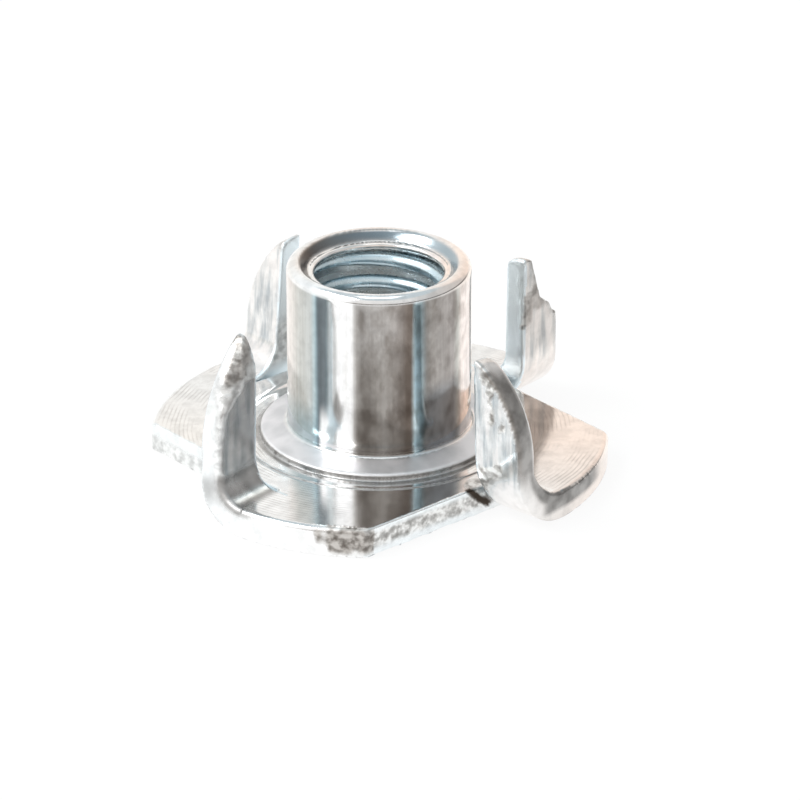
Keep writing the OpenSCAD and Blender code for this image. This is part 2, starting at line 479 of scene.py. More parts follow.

# %% [markdown]
# Then come the marks that only one claw has. Claw 0 is torn along its missing corner and has
# painted shade outside, claw 1 has painted shade as dark chips at the foot of its sheared edge,
# and claw 2 has painted shade over its fold and inner face.

# %% The marks of claws 0, 1 and 2
c = claws[0]
at_tear = 1 - smooth(0.05, 0.3, np.abs(outline_distance(TEAR_PATH, c.x, c.z)))
add_finish("torn", c.on * at_tear * 0.8, c.at)
# Painted shade darkens claw 0's outer face.
outside = c.on * smooth(0.5, 0.9, -c.normal[:, 1]) * smooth(2.2, 3.2, c.z)
add_finish("painted_shade", 0.45 * outside, c.at)
c = claws[1]
# Painted shade: dark chips at the foot of claw 1's sheared edge, beside the barrel.
shaded_low_edge = smooth(1.4, 1.8, c.z) * (1 - smooth(2.8, 4.0, c.z))
add_finish("torn", 0.5 * (c.on & (c.edge < 0.15)) * shaded_low_edge, c.at)
c = claws[2]
# Painted shade over claw 2's fold and its inner face.
fold = c.on * smooth(0.05, 0.3, c.normal[:, 2]) * (1 - smooth(2.0, 2.8, c.z))
fold = 0.8 * fold * smooth(-0.3, 0.2, FOLD_Y - c.y)
inner_face = c.on * smooth(0.6, 0.9, -c.normal[:, 1]) * smooth(1.8, 2.6, c.z)
add_finish("painted_shade", np.maximum(fold, 0.5 * inner_face) * (c.edge > 0.12), c.at)
print("rubbed vertices:", int((finish["painted_shade"] > 0.3).sum()))

# %% [markdown]
# Claw 3's rim edge has painted shade, with a brown painted shade beside its outer face and a
# bright line left beside its inner one, and it is torn along the seam between the rim and the
# outer face. The same painted shade runs on round the flange's rim on that side.

# %% The marks of claw 3 and of the rim beside it
c = claws[3]
# Painted shade along the rim edge, browner beside the outer face.
on_rim = c.on & (c.rim < 0.12)
above_fold = smooth(1.6, 3.2, c.z)
level = above_fold + (1 - above_fold) * (0.12 + 0.88 * smooth(0.45, 0.75, c.deep))
level = level * (1 - smooth(6.4, 6.9, c.z))
level = level * (1 - 0.6 * smooth(0.72, 0.86, c.deep) * above_fold)
add_finish("painted_shade", on_rim * smooth(-2.3, -1.7, c.place[:, 0]) * level, c.at)
painted_brown_shade = on_rim * (1 - smooth(0.3, 0.5, c.deep)) * above_fold * level
add_finish("dirt_and_shade", 0.8 * painted_brown_shade, c.at)
seam = c.on * (1 - smooth(0.06, 0.24, c.rim)) * smooth(2.6, 3.4, c.z)
seam = seam * (1 - smooth(-1.95, -1.72, c.place[:, 0]))
add_finish("torn", 0.75 * seam, c.at)
back_face = c.on * smooth(0.6, 0.9, c.normal[:, 0]) * smooth(1.6, 2.4, c.z)
add_finish("sheared", 0.7 * back_face, c.at)
# Painted shade on the flange's rim beside claw 3.
on_edge = (np.abs(r - FLANGE_R) < 0.06) & (height < SHEET_T)
right_lobe = smooth(-1.0, -0.4, points[:, 0]) * (1 - smooth(2.6, 4.4, points[:, 0]))
right_lobe = right_lobe * (points[:, 1] < 0) * smooth(0.35, 0.65, height)
add_finish("painted_shade", on_edge * right_lobe)
print("stained vertices:", int((finish["dirt_and_shade"] > 0.3).sum()))

# %% [markdown]
# Some tears follow no edge: a chewed corner of the front lobe, the foot of claw 3, the chipped
# tip of claw 2, a rip down claw 3, and a ledge on claw 0 with a darker patch under it. Each is a
# short path of places in mm that the finish stays near.

# %% Tears and darker patches at single places
corner = near_to([(-7.25, -6.0, 0.7), (-7.7, -5.5, 0.75), (-8.1, -4.9, 0.8)], 0.9, 0.35)
corner = corner * (r > 9.2) * smooth(0.05, 0.3, height)
add_finish("torn", corner * 0.95)
add_finish("dirt_and_shade", corner * 0.55)
foot = near_to([(-1.35, -6.4, 1.3), (-1.95, -7.0, 1.7), (-1.95, -8.1, 2.5)], 0.42, 0.3)
add_finish("torn", foot * 0.85)
chipped = near_to([(-7.3, 0.85, 7.4), (-7.62, 0.7, 6.95), (-7.99, 0.55, 6.2)], 0.5, 0.35)
add_finish("torn", chipped * 0.85)
add_finish("dirt_and_shade", chipped * 0.4)
rip = near_to([(-2.07, -7.5, 6.5), (-2.05, -7.85, 6.2), (-2.06, -7.65, 5.6),
               (-2.04, -7.87, 4.9), (-2.02, -8.15, 4.4)], 0.24, 0.3)
add_finish("torn", rip * 0.9)
ledge = near_to([(7.8, -1.88, 5.5), (7.2, -1.88, 5.25), (7.04, -1.84, 4.1)], 0.24, 0.15)
add_finish("torn", ledge * 0.8)
darker_under_ledge = near_to([(7.9, -1.87, 4.95), (7.4, -1.88, 4.95), (7.2, -1.88, 4.4)], 0.6, 0.35)
darker_under_ledge = darker_under_ledge * smooth(0.6, 0.9, -normals[:, 1])
add_finish("torn", darker_under_ledge * 0.45)
add_finish("dirt_and_shade", darker_under_ledge * 0.6)
# Painted shade: the slit stays open at its end under claw 3, and its shade is painted dark.
add_finish("painted_gap_shade", near_to([(-2.02, -6.62, 1.25), (-1.75, -6.72, 0.97), (-1.47, -6.75, 0.7),
                           (-1.05, -6.8, 0.4)], 0.2))
print("torn vertices:", int((finish["torn"] > 0.3).sum()))

# %% [markdown]
# Last come the round parts: the drawn wall of the barrel, the turned collar round its foot, the
# step and a line beside it with painted shade, the countersink, and painted shade under the lip
# at the back left.

# %% The barrel, its collar and its mouth
add_finish("drawn", (np.abs(r - BARREL_R) < 0.1) * smooth(1.68, 1.8, height)
           * (1 - smooth(TOP - LIP_R, TOP - LIP_R + 0.16, height)))
over_flange = (r < SHOULDER_R + 0.12) & (height > SHEET_T + 0.02) & (height < 1.9)
add_finish("collar", over_flange * smooth(3.85, 4.0, r) * smooth(0.5, 0.8, normals[:, 2]))
# Painted shade on the collar's step and in a line on the flange beside it.
step = over_flange * smooth(SHOULDER_R - 0.12, SHOULDER_R - 0.02, r)
add_finish("painted_shade", step * (1 - smooth(0.4, 0.8, normals[:, 2])))
beside = smooth(4.9, 4.98, r) * (1 - smooth(5.1, 5.3, r)) * (height > 1.0) * (height < 1.4)
add_finish("painted_shade", 0.8 * beside)
off_ring = np.hypot(r - RING_R, height - RING_Z) - RING_ROUND
add_finish("countersunk", (1 - smooth(MOUTH_R - 0.12, MOUTH_R + 0.02, r))
           * (height > LAND_Z) * smooth(0.0, 0.17, off_ring))
round_by = (np.degrees(np.arctan2(points[:, 1], points[:, 0])) + FRONT + 180) % 360 - 180
# Painted shade under the lip at the back left.
under_lip = smooth(3.06, 3.18, r) * (1 - smooth(3.24, 3.34, r)) * (height > 8.5)
add_finish("dirt_and_shade", 0.9 * under_lip * ((round_by < -40) | (round_by > 172)))
add_finish("bored", 1.0 * (r < GROOVE_R + 0.1) * (height < LAND_Z + 0.1))
flat_top = (np.abs(height - SHEET_T) < 0.1) & (normals[:, 2] > 0.9)
add_finish("flat_top", flat_top * (1 - finish["torn"]))
print({name: int((value > 0.5).sum()) for name, value in finish.items()})

# %% [markdown]
# The points, the faces, the normals and the finishes now become one mesh, in metres.

# %% Make the pressed body
mesh = bpy.data.meshes.new("pressed_body")
mesh.from_pydata(points * MM, [], quads.tolist())
mesh.update()
for name, values in finish.items():
    mesh.attributes.new(name, "FLOAT", "POINT").data.foreach_set("value", values.astype("f"))
mesh.polygons.foreach_set("use_smooth", np.ones(len(quads), bool))
mesh.normals_split_custom_set_from_vertices(normals)
body = bpy.data.objects.new("pressed_body", mesh)
bpy.context.collection.objects.link(body)
print("pressed body:", len(mesh.polygons), "faces, repaired:", mesh.validate(verbose=False))

# %% [markdown]
# ## Nodes
# The thread, the plating, the table and the room are built from nodes, and one small function
# adds any kind of node. Blender's names for the kinds and their settings are long, so those
# used often get a short one. On a Mix node for colours, the two colours are the inputs 6 and 7
# and the result is the output 2.

# %% One function to add a node
def linear(code):
    """An sRGB hex colour as linear red, green, blue and alpha."""
    parts = [int(code[i : i + 2], 16) / 255 for i in (1, 3, 5)]
    return [p / 12.92 if p <= 0.04045 else ((p + 0.055) / 1.055) ** 2.4 for p in parts] + [1]


def add_node(tree, kind, settings=None, inputs=None, output=0, stops=()):
    """Add a node, set it, link what is a socket, and give back one output."""
    node = tree.nodes.new(kind)
    for name, value in (settings or {}).items():
        setattr(node, name, value)
    for name, value in (inputs or {}).items():
        if isinstance(value, bpy.types.NodeSocket):
            tree.links.new(value, node.inputs[name])
        else:
            node.inputs[name].default_value = value
    for _ in stops[2:]:
        node.color_ramp.elements.new(0.5)
    for i, (position, code) in enumerate(stops):
        element = node.color_ramp.elements[i]
        element.position, element.color = position, linear(code)
    return node.outputs[output] if output is not None else node


# Short names for kinds of node, settings and the sockets of a Mix node
MATH, VECTOR_MATH = "ShaderNodeMath", "ShaderNodeVectorMath"
MAP, RAMP, MIX = "ShaderNodeMapRange", "ShaderNodeValToRGB", "ShaderNodeMix"
ADD, SUBTRACT, MULTIPLY, MULTIPLY_ADD, DIVIDE, POWER, SQRT, MINIMUM, MAXIMUM, SCALE, LENGTH = (
    {"operation": name} for name in (
        "ADD", "SUBTRACT", "MULTIPLY", "MULTIPLY_ADD", "DIVIDE", "POWER", "SQRT", "MINIMUM",
        "MAXIMUM", "SCALE", "LENGTH"))
SOFT_STEP = {"interpolation_type": "SMOOTHSTEP"}
OVER = {"data_type": "RGBA"}
TIMES = {"data_type": "RGBA", "blend_type": "MULTIPLY"}
A, B, RESULT = 6, 7, 2
print("mid grey in linear light:", round(linear("#808080")[0], 3))

# %% [markdown]
# ## The tapped thread
# A tap leaves one ridge that winds up the bore, 1 mm to a turn. It follows a rule, so Geometry
# Nodes sweep its section along a spiral. Where the ridge meets the countersink or the rounded
# foot of the hole, the same tree pushes it back to that surface, as the tap's cut would end. A
# Screw modifier winds a thread as well, but it cannot let the ridge run out and follow a cone.

# %% The tree that winds the thread, and what it is given
wind = bpy.data.node_groups.new("wind_a_thread", "GeometryNodeTree")
THREAD = {"Pitch": 1.0 * MM, "Crest radius": CREST_R * MM, "Groove radius": GROOVE_R * MM,
          "Turns": 7.45, "Start height": 0.55 * MM, "Mouth radius": MOUTH_R * MM,
          "Top": TOP * MM, "Foot radius": DRAW_R * MM}
for name in THREAD:
    wind.interface.new_socket(name, in_out="INPUT", socket_type="NodeSocketFloat")
wind.interface.new_socket("Steel", in_out="INPUT", socket_type="NodeSocketMaterial")
wind.interface.new_socket("Mesh", in_out="OUTPUT", socket_type="NodeSocketGeometry")
given = wind.nodes.new("NodeGroupInput").outputs
print("the thread tree is given:", list(THREAD))

# %% Sweep the ridge's section along a spiral
# Corners of the section: outwards in heights of the ridge, and upwards in pitches
SECTION = ((0.1, 0.46), (-1.0, 0.125), (-1.0, -0.125), (0.1, -0.46))
rise = add_node(wind, MATH, MULTIPLY, {0: given["Pitch"], 1: given["Turns"]})
spiral = add_node(wind, "GeometryNodeCurveSpiral", {}, {
    "Resolution": 96, "Rotations": given["Turns"], "Start Radius": given["Groove radius"],
    "End Radius": given["Groove radius"], "Height": rise, "Reverse": True})
level_curve = add_node(wind, "GeometryNodeSetCurveNormal", {"mode": "Z_UP"}, {"Curve": spiral})
tall = add_node(wind, MATH, SUBTRACT, {0: given["Groove radius"], 1: given["Crest radius"]})
section_points = {}
for i, (outward, upward) in enumerate(SECTION):
    section_points[f"Point {i + 1}"] = add_node(wind, "ShaderNodeCombineXYZ", {}, {
        "X": add_node(wind, MATH, MULTIPLY, {0: tall, 1: outward}),
        "Y": add_node(wind, MATH, MULTIPLY, {0: given["Pitch"], 1: upward})})
section = add_node(wind, "GeometryNodeCurvePrimitiveQuadrilateral", {"mode": "POINTS"},
                   section_points)
along = add_node(wind, "GeometryNodeSplineParameter")
runs_out = add_node(wind, MAP, {}, {
    "Value": along, "From Min": 0.955, "From Max": 1.0, "To Min": 1.0, "To Max": 0.1})
ridge = add_node(wind, "GeometryNodeCurveToMesh", {}, {
    "Curve": level_curve, "Profile Curve": section, "Scale": runs_out, "Fill Caps": True})
print("corners of the section:", len(section_points))

# %% How wide the mouth's cone and the rounded foot are at each height
here = add_node(wind, "GeometryNodeInputPosition")
over_start = add_node(wind, "ShaderNodeSeparateXYZ", {}, {0: here}, "Z")
z = add_node(wind, MATH, ADD, {0: over_start, 1: given["Start height"]})
to_top = add_node(wind, MATH, SUBTRACT, {0: given["Top"], 1: z})
cone = add_node(wind, MATH, SUBTRACT, {0: given["Mouth radius"], 1: to_top})
low_z = add_node(wind, MATH, MINIMUM, {0: z, 1: given["Foot radius"]})
below = add_node(wind, MATH, SUBTRACT, {0: given["Foot radius"], 1: low_z})
full = add_node(wind, MATH, POWER, {0: given["Foot radius"], 1: 2.0})
part = add_node(wind, MATH, POWER, {0: below, 1: 2.0})
rest = add_node(wind, MATH, SUBTRACT, {0: full, 1: part})
reach = add_node(wind, MATH, SQRT, {0: rest})
centre = add_node(wind, MATH, ADD, {0: given["Crest radius"], 1: given["Foot radius"]})
foot = add_node(wind, MATH, SUBTRACT, {0: centre, 1: reach})
opening = add_node(wind, MATH, MAXIMUM, {0: cone, 1: foot})
print("thread tree so far:", len(wind.nodes), "nodes")

# %% Push the ridge back to them, lift it and give it its plating
flat = add_node(wind, VECTOR_MATH, MULTIPLY, {0: here, 1: (1, 1, 0)})
radius = add_node(wind, VECTOR_MATH, LENGTH, {0: flat}, "Value")
limit = add_node(wind, MATH, MAXIMUM, {0: radius, 1: opening})
outward = add_node(wind, MATH, DIVIDE, {0: limit, 1: radius})
pushed = add_node(wind, VECTOR_MATH, SCALE, {0: flat, "Scale": outward})
upward = add_node(wind, "ShaderNodeCombineXYZ", {}, {"Z": z})
lifted = add_node(wind, VECTOR_MATH, ADD, {0: pushed, 1: upward})
cut = add_node(wind, "GeometryNodeSetPosition", {}, {"Geometry": ridge, "Position": lifted})
real = add_node(wind, "GeometryNodeRealizeInstances", {}, {"Geometry": cut})
steel = add_node(wind, "GeometryNodeSetMaterial", {},
                 {"Geometry": real, "Material": given["Steel"]})
wind.links.new(steel, wind.nodes.new("NodeGroupOutput").inputs["Mesh"])
print("thread tree:", len(wind.nodes), "nodes")

# %% [markdown]
# ## Bright zinc
# Electroplated zinc with a clear blue passivation is a bright, slightly blue metal. Thin
# places in its film look straw or pink, and oil and handling leave soft grey mottling. A metal
# shows only what it reflects, so all tints are in the base colour, painted reflection and
# painted shade among them, and the gloss is in the roughness. An image would stretch over the
# folds, so the pattern comes from noise and from the angle round the nut.

# %% What both platings are made with
WAVINESS = 0.008
BLACK, WHITE, CLEAR, PEARL, STRAW = "#000000", "#FFFFFF", "#F3F4F4", "#E6E4E1", "#CFCFCA"
BLUSH, PEACH, ICE, STEEL_BLUE = "#F6ECE5", "#FEEEE3", "#C6D8DD", "#8A9DA4"
DULL, GREY, SMOKY, DUSK = "#918F8C", "#A7A39F", "#80766F", "#666E73"


def new_metal(name):
    """A metal, with its node tree and its shader."""
    steel = bpy.data.materials.new(name)
    steel.use_nodes = True
    shader = steel.node_tree.nodes["Principled BSDF"]
    shader.inputs["Metallic"].default_value = 1.0
    return steel, steel.node_tree, shader


def clouds(tree, size_mm, stops=(), detail=3.0, stretch=(1, 1, 1)):
    """Noise about size_mm across, longer where a stretch is below 1, coloured by its stops."""
    place = add_node(tree, "ShaderNodeTexCoord", output="Object")
    spread = add_node(tree, VECTOR_MATH, MULTIPLY, {0: place, 1: stretch})
    noise = add_node(tree, "ShaderNodeTexNoise", {}, {
        "Vector": spread, "Scale": 1000 / size_mm, "Detail": detail})
    return add_node(tree, RAMP, {}, {"Fac": noise}, stops=stops) if stops else noise


def in_turns(stops):
    """Stops by the angle from the front in degrees, as stops from 0 to 1."""
    return [(0.5 + WAVINESS / 2 + angle / 360, code) for angle, code in stops]


print("the front is", round(in_turns([(0, WHITE)])[0][0], 3), "of a turn round")

# %% [markdown]
# The plating of the pressed body starts as a nearly white film with painted reflection tints
# round the nut. Each further coat has an amount, a way of mixing and a colour. The coats are
# kept in a list and laid over the film at the end, so their order is easy to see and to change.

# %% The film, with painted reflection tints round the nut, and mottled
# Painted reflection: the blush, peach and clear tints stand for the warm and cool room round the
# nut.
FILM_AND_REFLECTION_TINTS = [(-180, BLUSH), (-120, CLEAR), (-84, "#FAF7F3"), (-50, "#F8FBFC"), (-20, WHITE),
        (30, CLEAR), (62, BLUSH), (82, PEACH), (104, PEACH), (150, CLEAR), (179, BLUSH)]
plate, tree, shader = new_metal("bright_zinc_plate")
where = {name: add_node(tree, "ShaderNodeAttribute", {"attribute_name": name}, {}, 2)
         for name in finish}
place = add_node(tree, "ShaderNodeTexCoord", output="Object")
z = add_node(tree, "ShaderNodeSeparateXYZ", {}, {0: place}, "Z")
turned = add_node(tree, "ShaderNodeVectorRotate", {"rotation_type": "Z_AXIS"},
                  {"Vector": place, "Angle": math.radians(FRONT)})
plain_angle = add_node(tree, "ShaderNodeTexGradient", {"gradient_type": "RADIAL"},
                       {"Vector": turned}, 1)
waves = clouds(tree, 0.9, stretch=(1, 1, 0.15))
angle = add_node(tree, MATH, MULTIPLY_ADD, {0: waves, 1: WAVINESS, 2: plain_angle})
film_and_reflection_tints = add_node(tree, RAMP, {}, {"Fac": angle}, stops=in_turns(FILM_AND_REFLECTION_TINTS))
spots = clouds(tree, 0.5, [(0.36, "#F0F0F0"), (0.6, WHITE)], 5.0)
coats = [(1.0, TIMES, spots)]
print("attributes that the plating reads:", len(where))

# %% [markdown]
# The facing tool leaves rings 0.17 mm apart on the flat faces, which catch the light only in
# patches. The folding tool drags upright marks, about 0.3 mm wide, down the claws.

# %% Tool rings on the flat faces and drag marks on the claws
rings = add_node(tree, "ShaderNodeTexWave", {"wave_type": "RINGS", "rings_direction": "Z"},
                 {"Vector": place, "Scale": 1700.0, "Distortion": 4.0, "Detail": 3.0,
                  "Detail Scale": 0.35}, 1)
lines = add_node(tree, RAMP, {}, {"Fac": rings}, stops=[(0.05, "#E8E7E6"), (0.5, WHITE)])
patches = clouds(tree, 1.6, [(0.42, BLACK), (0.64, WHITE)])
lined = add_node(tree, MATH, MULTIPLY, {0: where["flat_top"], 1: patches})
drags = clouds(tree, 0.35, [(0.34, "#C6CED3"), (0.5, "#F0F3F4"), (0.6, WHITE)],
               stretch=(1, 1, 0.14))
coats += [(lined, TIMES, lines), (where["upright"], TIMES, drags)]
print("coats so far:", len(coats))

# %% [markdown]
# The light and dark bands round the barrel are painted reflection, with fine upright hairlines
# from the die over them. The bands are listed by their angle from the front.

# %% The painted reflection bands round the barrel
# Painted reflection: each band stands in for what the barrel mirrors on that side.
PAINTED_REFLECTION_BANDS = [(-180, STRAW), (-148, CLEAR), (-144, DULL), (-128, GREY),
               (-112, PEARL), (-96, BLUSH), (-72, "#EDE5DE"), (-60, STRAW), (-47, "#C8CBC9"),
               (-44, ICE), (-42, STEEL_BLUE), (-40.5, DUSK), (-34.5, "#7E878B"), (-32, WHITE),
               (-17, WHITE), (-15, "#B5B2AF"), (-11, "#A6A3A0"), (3, "#BDBAB7"), (12, "#A9A39F"),
               (17, SMOKY), (20, SMOKY), (22.5, "#D6EAF1"), (26.5, "#A3B5BC"), (30, DULL),
               (34, GREY), (52, "#ABA6A3"), (57, STRAW), (62, "#FFF4EE"), (78, "#FFF4EE"),
               (110, PEARL), (135, GREY), (170, STRAW)]
reflection_bands = add_node(tree, RAMP, {}, {"Fac": angle}, stops=in_turns(PAINTED_REFLECTION_BANDS))
hair = clouds(tree, 0.16, [(0.35, "#F4F3F2"), (0.65, WHITE)], 2.0, (1, 1, 0.04))
print(len(PAINTED_REFLECTION_BANDS), "stops round the barrel")

# %% [markdown]
# Lower down, parts of the painted reflection bands change: the darker side turns blue-grey at
# the right of its foot and the painted white band widens. The whole darker side is blotched
# where drawing oil was baked on, and its left part has painted shade below. Each patch is kept
# to some sides and grows downwards.

# %% Patches of the barrel's wall
def white_between(angles):
    """Stops: black up to the first of four angles, white from the second to the third."""
    return in_turns(zip(angles, (BLACK, WHITE, WHITE, BLACK)))


def downwards(upper, lower, most, angles):
    """From 0 at the upper height (mm) to the most at the lower one, on some sides."""
    by_height = add_node(tree, MAP, SOFT_STEP, {
        "Value": z, "From Min": upper * MM, "From Max": lower * MM, "To Max": most})
    by_side = add_node(tree, RAMP, {}, {"Fac": angle}, stops=white_between(angles))
    return add_node(tree, MATH, MULTIPLY, {0: by_height, 1: by_side})


darker_reflection_side = add_node(tree, RAMP, {}, {"Fac": angle}, stops=white_between((-16, -12, 60, 75)))
blotches = clouds(tree, 0.6, [(0.34, "#C9C5C2"), (0.6, WHITE)], 5.0, (1, 1, 0.6))
for amount, how, coat in (
        (1.0, TIMES, spots), (1.0, TIMES, hair),
        # Painted reflection and shade low on the barrel: blue-grey, white and darker patches.
        (downwards(4.9, 3.9, 0.75, (28, 33, 54, 62)), OVER, linear("#8A9096")),
        (downwards(3.9, 2.6, 1.0, (-41, -38.5, -18, -16)), OVER, linear(WHITE)),
        (darker_reflection_side, TIMES, blotches),
        (downwards(7.2, 5.2, 0.9, (-15, -12, 19, 22)), TIMES, linear("#D2CFCC"))):
    reflection_bands = add_node(tree, MIX, how, {"Factor": amount, A: reflection_bands, B: coat}, RESULT)
# A painted blue reflection tints the barrel's foot on one side.
painted_blue_reflection = add_node(tree, MATH, MULTIPLY, {
    0: downwards(3.9, 2.4, 0.9, (-140, -110, -48, -38)), 1: where["drawn"]})
coats += [(where["drawn"], OVER, reflection_bands), (painted_blue_reflection, TIMES, linear("#D2E6F0"))]
print("coats so far:", len(coats))

# %% [markdown]
# A shear burnishes the upper part of a wall a cool blue-white and tears the lower part into
# dark chips. Some torn places are dirty too. Painted shade lays a duller brown grey on rims and
# faces, a darker tint under the lip and a dark brown in the open end of a slit; the cone of the
# mouth mirrors dark and light sides, and the collar was turned to a fine, even grey.

# %% The sheared, torn, turned and painted-shade places, and all coats over the film
chips = clouds(tree, 0.3, [(0.34, "#7C7670"), (0.44, "#A8A5A1"), (0.54, "#DDDBD8"),
                           (0.62, "#F8F8F6")], 5.0, (0.9, 0.9, 1.0))
# Painted shade: a mottled dark brown grey.
mottled_shade_tone = clouds(tree, 0.6, [(0.35, "#7F7D7B"), (0.65, "#A7A5A3")])
CONE = [(-180, "#8C979E"), (-140, "#7A7F82"), (-112, "#5E5854"), (-80, "#463E39"),
        (-40, "#6F6A66"), (60, "#8D9AA1"), (100, "#A9B5BB"), (150, "#A9B5BB"),
        (179, "#8C979E")]
cone_sides = add_node(tree, RAMP, {}, {"Fac": angle}, stops=in_turns(CONE))
fine_grey = clouds(tree, 1.6, [(0.4, "#D6D5D6"), (0.6, "#E9E7E8")])
coats += [(where["sheared"], OVER, linear("#EEF9FE")), (where["torn"], OVER, chips),
          # The darkening coats below carry painted shade as well as real dirt.
          (where["dirt_and_shade"], TIMES, linear("#A0958C")), (where["painted_shade"], OVER, mottled_shade_tone),
          (where["countersunk"], OVER, cone_sides), (where["collar"], OVER, fine_grey),
          # Painted shade in the open end of the slit.
          (where["painted_gap_shade"], OVER, linear("#3F3730"))]
colour = film_and_reflection_tints
for amount, how, coat in coats:
    colour = add_node(tree, MIX, how, {"Factor": amount, A: colour, B: coat}, RESULT)
tree.links.new(colour, shader.inputs["Base Color"])
print("coats over the film:", len(coats))

# %% [markdown]
# The film is glossy, and every worked place adds some roughness of its own to it. A very low,
# wide bump keeps the reflections from being drawn with a ruler.

# %% The gloss of the pressed body
ROUGHER = {"torn": 0.3, "collar": 0.42, "bored": 0.14, "countersunk": 0.1, "flat_top": 0.02,
           "painted_shade": 0.2, "sheared": 0.28}
gloss = add_node(tree, MAP, {}, {
    "Value": clouds(tree, 0.9), "From Min": 0.35, "From Max": 0.7, "To Min": 0.1,
    "To Max": 0.15})
for name, added in ROUGHER.items():
    gloss = add_node(tree, MATH, MULTIPLY_ADD, {0: where[name], 1: added, 2: gloss})
tree.links.new(gloss, shader.inputs["Roughness"])
bump = add_node(tree, "ShaderNodeBump", {}, {
    "Height": clouds(tree, 0.9, detail=2.0), "Strength": 0.12, "Distance": 0.02 * MM})
tree.links.new(bump, shader.inputs["Normal"])
print("plating of the body:", len(tree.nodes), "nodes")

# %% [markdown]
# The thread sees little light and keeps more of the passivation's blue. The tap also leaves it
# a little rougher than the outside.

# %% The plating in the thread
thread_plate, tree, shader = new_metal("bright_zinc_in_thread")
tints = clouds(tree, 1.4, [(0.35, "#C4D8E1"), (0.65, "#DCEAEF")])
tree.links.new(tints, shader.inputs["Base Color"])
worn = add_node(tree, MAP, {}, {
    "Value": clouds(tree, 0.5), "From Min": 0.3, "From Max": 0.7, "To Min": 0.22,
    "To Max": 0.34})
tree.links.new(worn, shader.inputs["Roughness"])
print("plating of the thread:", len(tree.nodes), "nodes")

# %% [markdown]
# ## Plate the body and wind the thread
# The body takes its plating and stands for the solid of the CAD model. The thread is wound
# once and kept as a plain mesh, so that nothing is left to be worked out later. Both ride on
# the one fixed part of the frame.

# %% Plate the body and wind the thread
mesh.materials.append(plate)
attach(body, "root")
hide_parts("tee_nut")

thread = bpy.data.objects.new("thread_ridge", bpy.data.meshes.new("thread_seed"))
bpy.context.collection.objects.link(thread)
winder = thread.modifiers.new("wind", "NODES")
winder.node_group = wind
for item in wind.interface.items_tree:
    if item.in_out == "INPUT":
        winder[item.identifier] = THREAD.get(item.name, thread_plate)
ready = thread.evaluated_get(bpy.context.evaluated_depsgraph_get())
thread_mesh = bpy.data.meshes.new_from_object(ready)
thread.modifiers.clear()
thread.data = thread_mesh
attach(thread, "root")
wound = np.array([v.co for v in thread_mesh.vertices]) / MM
wound_r = np.hypot(wound[:, 0], wound[:, 1])
print("thread:", len(thread_mesh.polygons), "faces, radius", wound_r.min(), "to", wound_r.max(),
      "mm, height", wound[:, 2].min(), "to", wound[:, 2].max(), "mm")

# %% [markdown]
# ## The table
# Bright metal shows what stands round it, so the surroundings are as much a part of its look
# as the plating. The nut stands on a white table. A plain white surface would turn grey away
# from the lamps, so most of what the camera sees of the table is an even glow. The metal sees
# a smaller share of it, but a stronger one, so it also mirrors the nut's own shadow.

# %% The table
TABLE_HALF, TABLE_DROP = 3, 0.02 * MM
SHARE_SEEN, SHARE_MIRRORED = 0.87, 0.7
GLOW, MORE_IN_METAL = 1.02, 0.15
floor_mesh = bpy.data.meshes.new("table_top")
floor_mesh.from_pydata([(x * TABLE_HALF, y * TABLE_HALF, 0) for x, y in SQUARE], [],
                       [(0, 1, 2, 3)])
floor = bpy.data.objects.new("table_top", floor_mesh)
bpy.context.collection.objects.link(floor)
floor.location.z = -TABLE_DROP
paper = bpy.data.materials.new("white_table")
paper.use_nodes = True
tree = paper.node_tree
matt = tree.nodes["Principled BSDF"]
matt.inputs["Base Color"].default_value = linear("#EFEFEE")
matt.inputs["Roughness"].default_value = 0.9
rays = add_node(tree, "ShaderNodeLightPath", output=None).outputs
mirrored = add_node(tree, MATH, MAXIMUM,
                    {0: rays["Is Glossy Ray"], 1: rays["Is Transmission Ray"]})
in_metal = add_node(tree, MATH, MULTIPLY, {0: mirrored, 1: SHARE_MIRRORED})
in_view = add_node(tree, MATH, MULTIPLY, {0: rays["Is Camera Ray"], 1: SHARE_SEEN})
share = add_node(tree, MATH, MAXIMUM, {0: in_metal, 1: in_view})
strength = add_node(tree, MATH, MULTIPLY_ADD, {0: mirrored, 1: MORE_IN_METAL, 2: GLOW})
white = add_node(tree, "ShaderNodeEmission", {}, {"Color": linear(WHITE), "Strength": strength})
mixed = add_node(tree, "ShaderNodeMixShader", {}, {0: share, 1: matt.outputs[0], 2: white})
tree.links.new(mixed, tree.nodes["Material Output"].inputs["Surface"])
floor_mesh.materials.append(paper)
print("table:", 2 * TABLE_HALF, "m wide")

# %% [markdown]
# ## The camera
# A long lens from 18 cm away keeps the nut's proportions nearly true, where a short one close
# up would swell the nearest claw. It looks down by 26 degrees, from between claws 2 and 3, and
# is aimed a little right of and above the middle of the flange.

# %% The camera
VIEW_AZIMUTH, VIEW_HEIGHT = math.radians(-48.3), math.radians(25.57)
VIEW_AWAY = 183.75
AIM_RIGHT, AIM_UP = 20.66 / 24.09, 27.3 / 24.09
target = Vector((0, 0, SHEET_T * MM))
back = Vector((math.sin(VIEW_AZIMUTH) * math.cos(VIEW_HEIGHT),
               -math.cos(VIEW_AZIMUTH) * math.cos(VIEW_HEIGHT), math.sin(VIEW_HEIGHT)))
right = Vector((math.cos(VIEW_AZIMUTH), math.sin(VIEW_AZIMUTH), 0))
up = back.cross(right)
camera = bpy.data.objects.new("camera", bpy.data.cameras.new("camera"))
bpy.context.collection.objects.link(camera)
camera.location = target + back * (VIEW_AWAY * MM)
aim = target + right * (AIM_RIGHT * MM) + up * (AIM_UP * MM)
camera.rotation_euler = (aim - camera.location).to_track_quat("-Z", "Y").to_euler()
camera.data.lens, camera.data.sensor_width = 199.2, 36
camera.data.clip_start = 0.01
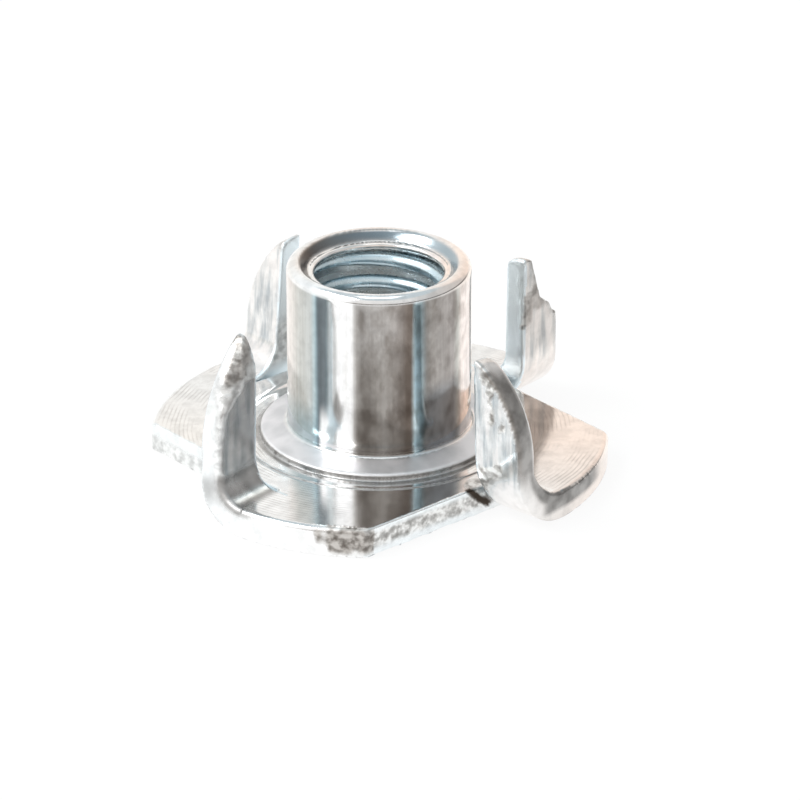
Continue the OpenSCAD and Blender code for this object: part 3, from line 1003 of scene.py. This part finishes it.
bpy.context.scene.camera = camera
print("camera in mm:", [round(v / MM, 1) for v in camera.location])

# %% [markdown]
# ## Lamps and room
# Two soft lamps, a large one at the left and a small one overhead, give the soft shadow and
# the broad bright bands. Everything else that the metal mirrors is a room of plain tints: pale
# walls, a darker line low down on the camera's side and at the right, and a grey ceiling. An
# image of a real room would do as well, but its streaks could not be placed one by one.

# %% The lamps
def softbox(name, azimuth, height, distance, size, power):
    """A soft lamp; its azimuth runs from the camera's side to the right."""
    a = VIEW_AZIMUTH + math.radians(azimuth)
    e = math.radians(height)
    lamp = bpy.data.lights.new(name, "AREA")
    lamp.shape, lamp.size, lamp.size_y = "RECTANGLE", size[0], size[1]
    lamp.energy = power
    holder = bpy.data.objects.new(name, lamp)
    bpy.context.collection.objects.link(holder)
    holder.location = Vector((math.sin(a) * math.cos(e), -math.cos(a) * math.cos(e),
                              math.sin(e))) * distance
    holder.rotation_euler = (-holder.location).to_track_quat("-Z", "Y").to_euler()
    return holder


for lamp in (softbox("left_softbox", -70, 50, 0.5, (0.36, 0.2), 1.4),
             softbox("overhead_softbox", 0, 89, 0.5, (0.22, 0.22), 0.16)):
    print(lamp.name, "at", [round(v, 2) for v in lamp.location], "m")

# %% The walls, by their azimuth from the camera's side to the right
WALLS = [(-180, "#F3F1EE"), (-150, "#F4F5F5"), (-120, "#F1F3F4"), (-96, WHITE),
         (-40, WHITE), (-28, "#E6E4E2"), (40, "#DCDBDA"), (64, "#C8C7C6"),
         (124, "#C8C7C6"), (140, "#EBE3DD"), (156, "#F3EDE8"), (180, "#F3F1EE")]
HORIZON = [(-180, "#FAFAF8"), (-50, "#FAFAF8"), (-30, "#7A726C"), (36, "#615A55"),
           (60, "#6B6A68"), (125, "#6B6A68"), (150, "#FAFAF8"), (180, "#FAFAF8")]
world = bpy.data.worlds.new("studio")
bpy.context.scene.world = world
world.use_nodes = True
tree = world.node_tree
direction = add_node(tree, "ShaderNodeTexCoord", output="Generated")
turned = add_node(tree, "ShaderNodeVectorRotate", {"rotation_type": "Z_AXIS"},
                  {"Vector": direction, "Angle": math.pi / 2 - VIEW_AZIMUTH})
around = add_node(tree, "ShaderNodeTexGradient", {"gradient_type": "RADIAL"},
                  {"Vector": turned}, 1)
walls, horizon = (
    add_node(tree, RAMP, {}, {"Fac": around}, stops=[(0.5 + a / 360, code) for a, code in tints])
    for tints in (WALLS, HORIZON))

print(len(WALLS), "stops on the walls and", len(HORIZON), "on the horizon")

# %% The horizon, the walls and the ceiling, one above the other
CEILING, ROOM_STRENGTH = "#BFC9CE", 1.12
height = add_node(tree, "ShaderNodeSeparateXYZ", {}, {0: direction}, "Z")
above = add_node(tree, MAP, SOFT_STEP, {"Value": height, "From Min": 0.1, "From Max": 0.18})
overhead = add_node(tree, MAP, SOFT_STEP, {"Value": height, "From Min": 0.72, "From Max": 0.84})
room = add_node(tree, MIX, OVER, {"Factor": above, A: horizon, B: walls}, RESULT)
room = add_node(tree, MIX, OVER, {"Factor": overhead, A: room, B: linear(CEILING)}, RESULT)
background = tree.nodes["Background"]
tree.links.new(room, background.inputs["Color"])
background.inputs["Strength"].default_value = ROOM_STRENGTH
print("room:", len(tree.nodes), "nodes")

# %% Plain display
bpy.context.scene.view_settings.view_transform = "Standard"
